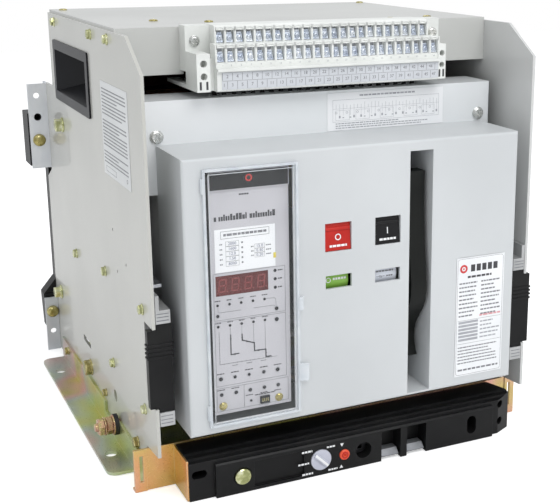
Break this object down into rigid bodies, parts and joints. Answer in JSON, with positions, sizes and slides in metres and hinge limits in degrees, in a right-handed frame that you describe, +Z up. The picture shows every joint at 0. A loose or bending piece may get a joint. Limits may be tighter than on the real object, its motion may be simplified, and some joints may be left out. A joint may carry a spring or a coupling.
{
  "type": "air circuit breaker",
  "caption": "Draw-out low-voltage air circuit breaker: a steel cradle with racking gear, sliding rails and rear copper terminals around a grey breaker with trip controller.",
  "frame": {"origin": "on the floor, under the middle of the object's bounding box", "axes": "+Z up, front toward -Y, +X to the right seen from the front"},
  "size_m": [0.458, 0.54, 0.4345],
  "materials": {
    "plate_paint": "satin beige-grey powder coat",
    "top_paint": "satin grey powder coat",
    "side_steel": "blue-grey paint",
    "zinc_yellow": "yellow passivated zinc, iridescent",
    "zinc_clear": "bright zinc plate",
    "bracket_zinc": "clear passivated zinc",
    "black_moulding": "black moulding compound",
    "cover_grey": "light grey moulded plastic",
    "terminal_grey": "grey polyamide",
    "rail_grey": "extruded, satin",
    "copper": "copper, plain",
    "controller_face": "printed silver-grey foil",
    "controller_case": "dark grey plastic",
    "window_clear": "clear polycarbonate",
    "button_red": "red plastic",
    "button_black": "black plastic",
    "release_red": "orange-red plastic",
    "knob_grey": "pale blue-grey plastic",
    "flag_green": "green print",
    "flag_white": "white print",
    "label_white": "printed white film",
    "handle_black": "black nylon",
    "chute_board": "arc-resistant board",
    "steel": "plain steel",
    "coil_wrap": "taped winding"
  },
  "bodies": {
    "cradle": {"left_side_plate": "plate_paint", "right_side_plate": "plate_paint", "top_plate": "top_paint", "floor_plate": "zinc_yellow", "mounting_rails": "zinc_yellow", "front_cross_plate": "zinc_yellow", "rear_brackets": "bracket_zinc", "handle_recesses": "black_moulding", "rear_base": "black_moulding", "main_terminals": "copper", "bridge_contacts": "copper", "racking_housing": "black_moulding", "secondary_terminal_block": "terminal_grey", "terminal_screws": "zinc_clear", "side_fasteners": "zinc_clear", "frame_bolts": "zinc_yellow", "top_screws": "zinc_yellow", "earth_terminal": "zinc_yellow", "earth_spacer": "black_moulding", "instruction_label": "label_white", "rail_guides": "steel"},
    "left_guide": {"left_guide_rail": "rail_grey", "left_grip": "black_moulding"},
    "right_guide": {"right_guide_rail": "rail_grey", "right_grip": "black_moulding"},
    "carriage": {"racking_carriage": "zinc_yellow"},
    "screw": {"racking_screw": "steel"},
    "knob": {"position_knob": "knob_grey"},
    "release": {"release_button": "release_red"},
    "crank": {"crank_handle": "zinc_clear"},
    "tabs": {"locking_tabs": "cover_grey"},
    "breaker": {"breaker_base": "black_moulding", "main_stabs": "copper", "flexible_links": "copper", "current_transformers": "coil_wrap", "arc_chutes": "chute_board", "splitter_plates": "steel", "body_side_plates": "side_steel", "mechanism_frame": "steel", "closing_spring": "steel", "motor_operator": "controller_case", "release_coils": "coil_wrap", "auxiliary_switch": "controller_case", "secondary_plug": "black_moulding", "upper_panel": "cover_grey", "cover_screws": "zinc_clear", "front_cover": "cover_grey", "controller_unit": "controller_case", "controller_panel": "controller_face", "breaker_labels": "label_white"},
    "shaft": {"main_shaft": "steel", "moving_contacts": "copper", "contact_carriers": "copper"},
    "contact_indicator": {"contact_flag": "flag_green"},
    "spring_indicator": {"spring_flag": "flag_white"},
    "reset": {"reset_button": "release_red"},
    "window": {"controller_window": "window_clear"},
    "off": {"off_button": "button_red"},
    "on": {"on_button": "button_black"},
    "lever": {"charging_handle": "handle_black"}
  },
  "joints": [
    {"name": "left_rail_slide", "type": "slide", "parent": "cradle", "child": "left_guide", "axis": [0, -1, 0], "range_m": [0, 0.25]},
    {"name": "right_rail_slide", "type": "slide", "parent": "cradle", "child": "right_guide", "axis": [0, -1, 0], "range_m": [0, 0.25]},
    {"name": "racking_slide", "type": "slide", "parent": "cradle", "child": "carriage", "axis": [0, -1, 0], "range_m": [0, 0.05]},
    {"name": "screw_turn", "type": "hinge", "parent": "cradle", "child": "screw", "pos_m": [0.0066, -0.24, 0.0165], "axis": [0, -1, 0], "range_deg": [0, 3600]},
    {"name": "knob_turn", "type": "hinge", "parent": "cradle", "child": "knob", "pos_m": [-0.0403, -0.25, 0.0165], "axis": [0, -1, 0], "range_deg": [0, 90]},
    {"name": "release_press", "type": "slide", "parent": "cradle", "child": "release", "axis": [0, 1, 0], "range_m": [0, 0.0015], "stiffness_N_per_m": 400, "springref_m": -0.002},
    {"name": "crank_pull", "type": "slide", "parent": "cradle", "child": "crank", "axis": [0, -1, 0], "range_m": [0, 0.2]},
    {"name": "tabs_pull", "type": "slide", "parent": "cradle", "child": "tabs", "axis": [0, -1, 0], "range_m": [0, 0.01]},
    {"name": "breaker_slide", "type": "slide", "parent": "carriage", "child": "breaker", "axis": [0, -1, 0], "range_m": [0, 0.28]},
    {"name": "shaft_turn", "type": "hinge", "parent": "breaker", "child": "shaft", "pos_m": [0, 0.03, 0.14], "axis": [-1, 0, 0], "range_deg": [0, 28]},
    {"name": "contact_flag_turn", "type": "hinge", "parent": "breaker", "child": "contact_indicator", "pos_m": [-0.024, -0.2385, 0.1999], "axis": [1, 0, 0], "range_deg": [0, 40.1]},
    {"name": "lever_pull", "type": "hinge", "parent": "breaker", "child": "lever", "pos_m": [0.0635, -0.225, 0.104], "axis": [1, 0, 0], "range_deg": [0, 70], "stiffness_Nm_per_rad": 0.6, "springref_deg": -17.19},
    {"name": "spring_flag_turn", "type": "hinge", "parent": "breaker", "child": "spring_indicator", "pos_m": [0.0278, -0.2385, 0.1993], "axis": [1, 0, 0], "range_deg": [0, 40.1]},
    {"name": "reset_press", "type": "slide", "parent": "breaker", "child": "reset", "axis": [0, 1, 0], "range_m": [0, 0.0018], "stiffness_N_per_m": 300, "springref_m": -0.002},
    {"name": "off_press", "type": "slide", "parent": "breaker", "child": "off", "axis": [0, 1, 0], "range_m": [0, 0.004], "stiffness_N_per_m": 600, "springref_m": -0.002},
    {"name": "on_press", "type": "slide", "parent": "breaker", "child": "on", "axis": [0, 1, 0], "range_m": [0, 0.004], "stiffness_N_per_m": 600, "springref_m": -0.002},
    {"name": "window_swing", "type": "hinge", "parent": "breaker", "child": "window", "pos_m": [-0.1555, -0.2665, 0.198], "axis": [0, 0, -1], "range_deg": [0, 110]}
  ],
  "couplings": [
    {"joint": "screw_turn", "follows": "racking_slide", "rad_per_m": 1256.6},
    {"joint": "knob_turn", "follows": "racking_slide", "rad_per_m": 31.416},
    {"joint": "contact_flag_turn", "follows": "shaft_turn", "ratio": 1.43},
    {"joint": "spring_flag_turn", "follows": "lever_pull", "ratio": 0.5714}
  ]
}
